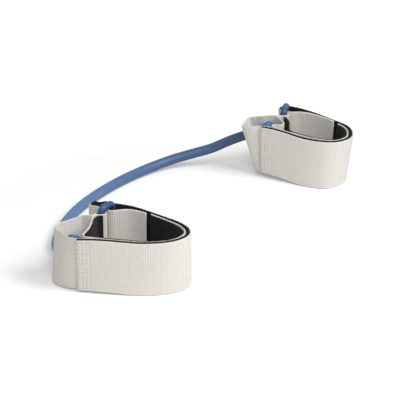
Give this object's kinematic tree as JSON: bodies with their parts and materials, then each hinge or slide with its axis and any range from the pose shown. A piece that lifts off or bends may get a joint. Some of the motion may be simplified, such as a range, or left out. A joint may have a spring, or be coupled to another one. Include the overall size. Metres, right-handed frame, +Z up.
{
  "type": "lateral resistance trainer",
  "caption": "Pair of stiff ribbed webbing ankle cuffs with moulded rings and hook-and-loop flaps, standing on edge and joined by a rubber resistance tube.",
  "frame": {"origin": "middle of the two cuffs' footprint on the surface that they stand on", "axes": "+X from the near cuff to the far cuff, +Z up along the straps' width, +Y towards the tube"},
  "size_m": [0.4018, 0.2024, 0.0652],
  "materials": {
    "webbing": "matt, finely ribbed across the width",
    "lining": "matt loop pile",
    "thread": "matt sewing thread",
    "ring": "satin moulded",
    "eyelet": "satin moulded",
    "tube": "satin latex",
    "stopper": "satin moulded"
  },
  "bodies": {
    "near_cuff": {"near_outer_strap": "webbing", "near_outer_lining": "lining", "near_inner_strap": "webbing", "near_inner_lining": "lining", "near_end_stitching": "thread", "near_eyelet": "eyelet", "near_eyelet_washer": "eyelet", "near_tube_stopper": "stopper", "resistance_tube": "tube"},
    "near_ring_body": {"near_ring": "ring"},
    "near_flap_body": {"near_closure_flap": "webbing", "near_flap_hook_strip": "lining"},
    "far_cuff": {"far_outer_strap": "webbing", "far_outer_lining": "lining", "far_inner_strap": "webbing", "far_inner_lining": "lining", "far_end_stitching": "thread", "far_eyelet": "eyelet", "far_eyelet_washer": "eyelet", "far_tube_stopper": "stopper"},
    "far_ring_body": {"far_ring": "ring"},
    "far_flap_body": {"far_closure_flap": "webbing", "far_flap_hook_strip": "lining"}
  },
  "joints": [
    {"name": "near_ring_swivel", "type": "hinge", "parent": "near_cuff", "child": "near_ring_body", "pos_m": [-0.14545, 0.02893, 0], "axis": [0, 0, 1], "range_deg": [-5, 5]},
    {"name": "near_flap_hinge", "type": "hinge", "parent": "near_cuff", "child": "near_flap_body", "pos_m": [-0.13756, 0.02858, 0], "axis": [0, 0, -1], "range_deg": [0, 30]},
    {"name": "tube_stretch", "type": "slide", "parent": "near_cuff", "child": "far_cuff", "axis": [1, 0, 0], "range_m": [0, 0.3], "stiffness_N_per_m": 150, "deforming": ["resistance_tube"]},
    {"name": "far_ring_swivel", "type": "hinge", "parent": "far_cuff", "child": "far_ring_body", "pos_m": [0.17288, 0.02832, 0], "axis": [0, 0, 1], "range_deg": [-5, 2.5]},
    {"name": "far_flap_hinge", "type": "hinge", "parent": "far_cuff", "child": "far_flap_body", "pos_m": [0.18023, 0.03121, 0], "axis": [0, 0, -1], "range_deg": [0, 30]}
  ]
}
